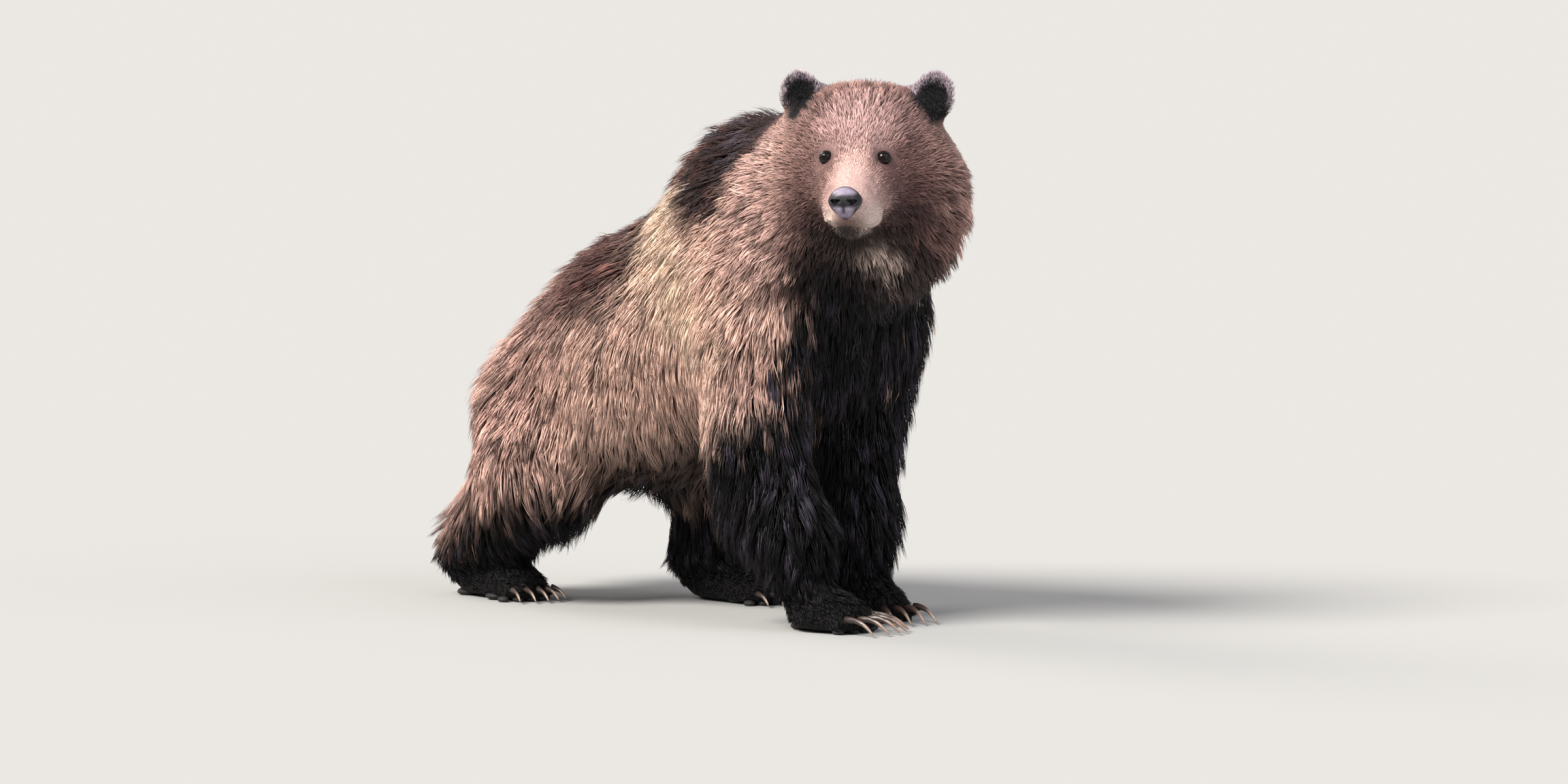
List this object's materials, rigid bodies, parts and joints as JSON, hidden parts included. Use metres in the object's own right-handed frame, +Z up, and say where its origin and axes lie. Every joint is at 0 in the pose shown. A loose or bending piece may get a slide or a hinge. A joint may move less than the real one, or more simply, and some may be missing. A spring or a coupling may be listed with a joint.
{
  "type": "grizzly bear",
  "caption": "Still, life-size model of a young grizzly bear standing on its four feet, its head turned over its right shoulder, in a long shaggy autumn coat.",
  "frame": {"origin": "on the floor, in the middle of the bear's footprint box", "axes": "+X the way the bear heads, +Y its left side, +Z up; the head is turned about 48 degrees to its right"},
  "size_m": [1.3288, 0.5786, 1.0266],
  "materials": {
    "coat_back": "long shaggy guard hair, dark brown with a light golden-tan cape, damp and clumped",
    "coat_face": "short dense mauve-brown face fur, paler on the bridge of the nose and beside the mouth",
    "coat_ear": "short near-black ear fur with pale grey rims",
    "coat_leg": "long wet near-black brown hair in pointed locks",
    "nose_leather": "moist dark slate pebbled nose pad",
    "eye": "wet dark brown eye",
    "claw_horn": "brown horn, paler towards the tip, worn"
  },
  "bodies": {
    "root": {"head": "coat_face", "neck": "coat_back", "trunk": "coat_back", "tail": "coat_back", "nose": "nose_leather", "ear_left": "coat_ear", "eye_left": "eye", "upper_arm_left": "coat_leg", "forearm_left": "coat_leg", "fore_paw_left": "coat_leg", "thigh_left": "coat_leg", "shin_left": "coat_leg", "hind_paw_left": "coat_leg", "fore_claw_left_1": "claw_horn", "fore_claw_left_2": "claw_horn", "fore_claw_left_3": "claw_horn", "fore_claw_left_4": "claw_horn", "fore_claw_left_5": "claw_horn", "hind_claw_left_1": "claw_horn", "hind_claw_left_2": "claw_horn", "hind_claw_left_3": "claw_horn", "hind_claw_left_4": "claw_horn", "hind_claw_left_5": "claw_horn", "ear_right": "coat_ear", "eye_right": "eye", "upper_arm_right": "coat_leg", "forearm_right": "coat_leg", "fore_paw_right": "coat_leg", "thigh_right": "coat_leg", "shin_right": "coat_leg", "hind_paw_right": "coat_leg", "fore_claw_right_1": "claw_horn", "fore_claw_right_2": "claw_horn", "fore_claw_right_3": "claw_horn", "fore_claw_right_4": "claw_horn", "fore_claw_right_5": "claw_horn", "hind_claw_right_1": "claw_horn", "hind_claw_right_2": "claw_horn", "hind_claw_right_3": "claw_horn", "hind_claw_right_4": "claw_horn", "hind_claw_right_5": "claw_horn"}
  },
  "joints": []
}
